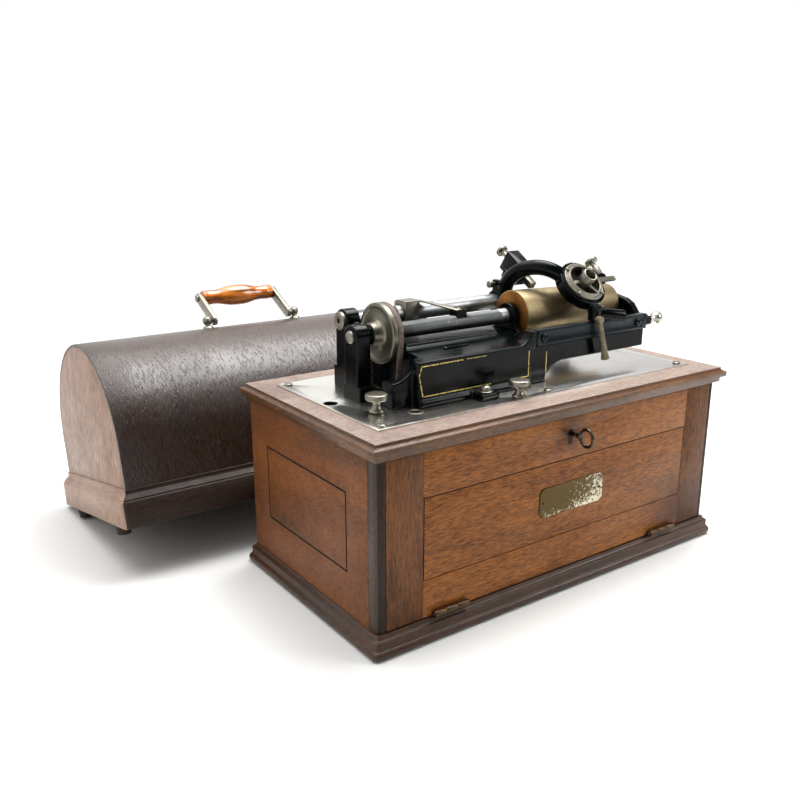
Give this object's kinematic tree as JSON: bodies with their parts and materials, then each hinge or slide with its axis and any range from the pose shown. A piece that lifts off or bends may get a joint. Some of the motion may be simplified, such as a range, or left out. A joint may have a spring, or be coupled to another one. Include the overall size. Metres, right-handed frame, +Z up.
{
  "type": "cylinder phonograph",
  "caption": "Table-top cylinder phonograph in an oak case with a drop front, feed-screw top works on a nickelled bedplate, belt drive and an arched cover with a bail handle.",
  "frame": {"origin": "centre of the case's underside, on the table", "axes": "+X to the right along the front, +Y to the back, +Z up"},
  "size_m": [0.5674, 0.5245, 0.3118],
  "materials": {
    "oak": "satin",
    "dark_oak": "satin",
    "door_oak": "satin",
    "cover_veneer": "satin",
    "cover_end": "satin",
    "plate_nickel": "polished",
    "nickel": "worn",
    "japan": "gloss",
    "rail_steel": "blued",
    "steel": "bright",
    "brass": "satin",
    "bronze": "aged",
    "name_brass": "aged",
    "copper": "satin",
    "iron": "matte",
    "core_iron": "painted",
    "coil": "wound",
    "belt_leather": "worn",
    "grip_wood": "varnished"
  },
  "bodies": {
    "case": {"base_moulding": "dark_oak", "case_floor": "oak", "left_side": "oak", "right_side": "oak", "back_panel": "oak", "corner_posts": "dark_oak", "top_slab": "oak", "bedplate": "plate_nickel", "plate_screws": "nickel", "bed_casting": "japan", "bed_screws": "nickel", "front_post": "japan", "rear_post": "japan", "centre_bearing": "japan", "back_rod": "steel", "guide_rail": "rail_steel", "belt": "belt_leather", "motor_frame": "core_iron", "pole_pieces": "core_iron", "field_coils": "coil", "brush_holders": "brass", "binding_posts": "brass", "hinge_leaves": "bronze", "hinge_pins": "steel"},
    "door": {"door_stiles": "oak", "door_rails": "door_oak", "door_panel": "door_oak", "door_hinges": "bronze", "name_plate": "name_brass", "lock_case": "brass"},
    "key": {"key": "iron"},
    "bolt": {"lock_bolt": "steel"},
    "left_thumbscrew": {"thumbscrew_left": "nickel"},
    "right_thumbscrew": {"thumbscrew_right": "nickel"},
    "spindle": {"feed_shaft": "steel", "drive_pulley": "nickel", "mandrel": "brass"},
    "rotor": {"motor_shaft": "steel", "armature": "core_iron", "commutator": "copper"},
    "carriage": {"carriage_bush": "brass"},
    "arm": {"carriage_sleeve": "steel", "feed_nut_block": "nickel", "nut_spring": "nickel", "carriage_arm": "japan", "arm_screws": "nickel", "reproducer": "nickel", "shaving_box": "japan"},
    "knife": {"knife_holder": "nickel"},
    "knife_adjuster": {"knife_screw": "nickel"},
    "lever": {"lift_lever": "bronze"},
    "gate": {"gate_arm": "japan", "gate_knob": "nickel"},
    "cover": {"cover_shell": "cover_veneer", "cover_ends": "cover_end", "cover_skirt": "cover_veneer", "cover_feet": "dark_oak", "handle_posts": "nickel"},
    "bail": {"handle_bail": "nickel", "handle_grip": "grip_wood"}
  },
  "joints": [
    {"name": "door_swing", "type": "hinge", "parent": "case", "child": "door", "pos_m": [0, -0.1155, 0.024], "axis": [1, 0, 0], "range_deg": [0, 80]},
    {"name": "key_turn", "type": "hinge", "parent": "door", "child": "key", "pos_m": [0, -0.112, 0.1574], "axis": [0, 1, 0], "range_deg": [0, 90]},
    {"name": "bolt_slide", "type": "slide", "parent": "door", "child": "bolt", "axis": [0, 0, 1], "range_m": [0, 0.006]},
    {"name": "left_thumbscrew_turn", "type": "hinge", "parent": "case", "child": "left_thumbscrew", "pos_m": [-0.1725, -0.046, 0.1915], "axis": [0, 0, 1], "continuous": true},
    {"name": "right_thumbscrew_turn", "type": "hinge", "parent": "case", "child": "right_thumbscrew", "pos_m": [-0.039, -0.082, 0.1915], "axis": [0, 0, 1], "continuous": true},
    {"name": "spindle_turn", "type": "hinge", "parent": "case", "child": "spindle", "pos_m": [0, 0, 0.2495], "axis": [1, 0, 0], "continuous": true},
    {"name": "rotor_turn", "type": "hinge", "parent": "case", "child": "rotor", "pos_m": [0, 0, 0.0965], "axis": [1, 0, 0], "continuous": true},
    {"name": "carriage_travel", "type": "slide", "parent": "case", "child": "carriage", "axis": [1, 0, 0], "range_m": [-0.042, 0.05]},
    {"name": "arm_lift", "type": "hinge", "parent": "carriage", "child": "arm", "pos_m": [0, 0.041, 0.2565], "axis": [-1, 0, 0], "range_deg": [0, 35]},
    {"name": "knife_adjust", "type": "hinge", "parent": "arm", "child": "knife_adjuster", "pos_m": [0.06495, 0.0389, 0.2901], "axis": [0, 0.8387, 0.5446], "range_deg": [0, 360]},
    {"name": "knife_slide", "type": "slide", "parent": "arm", "child": "knife", "axis": [0, -0.8387, -0.5446], "range_m": [0, 0.0008]},
    {"name": "lever_swing", "type": "hinge", "parent": "arm", "child": "lever", "pos_m": [0.085, -0.0628, 0.2475], "axis": [0, -1, 0], "range_deg": [0, 50]},
    {"name": "gate_swing", "type": "hinge", "parent": "case", "child": "gate", "pos_m": [0.1689, 0.051, 0.2455], "axis": [0, 0, 1], "range_deg": [0, 100]},
    {"name": "cover_lift", "type": "slide", "parent": "case", "child": "cover", "axis": [0, 0, 1], "range_m": [0, 0.35]},
    {"name": "bail_swing", "type": "hinge", "parent": "cover", "child": "bail", "pos_m": [-0.122, 0.2985, 0.21928], "axis": [1, 0, 0], "range_deg": [-40, 140]}
  ],
  "couplings": [
    {"joint": "bolt_slide", "follows": "key_turn", "m_per_rad": 0.0038197},
    {"joint": "rotor_turn", "follows": "spindle_turn", "ratio": 2.1417},
    {"joint": "knife_adjust", "follows": "knife_slide", "rad_per_m": 7854}
  ]
}
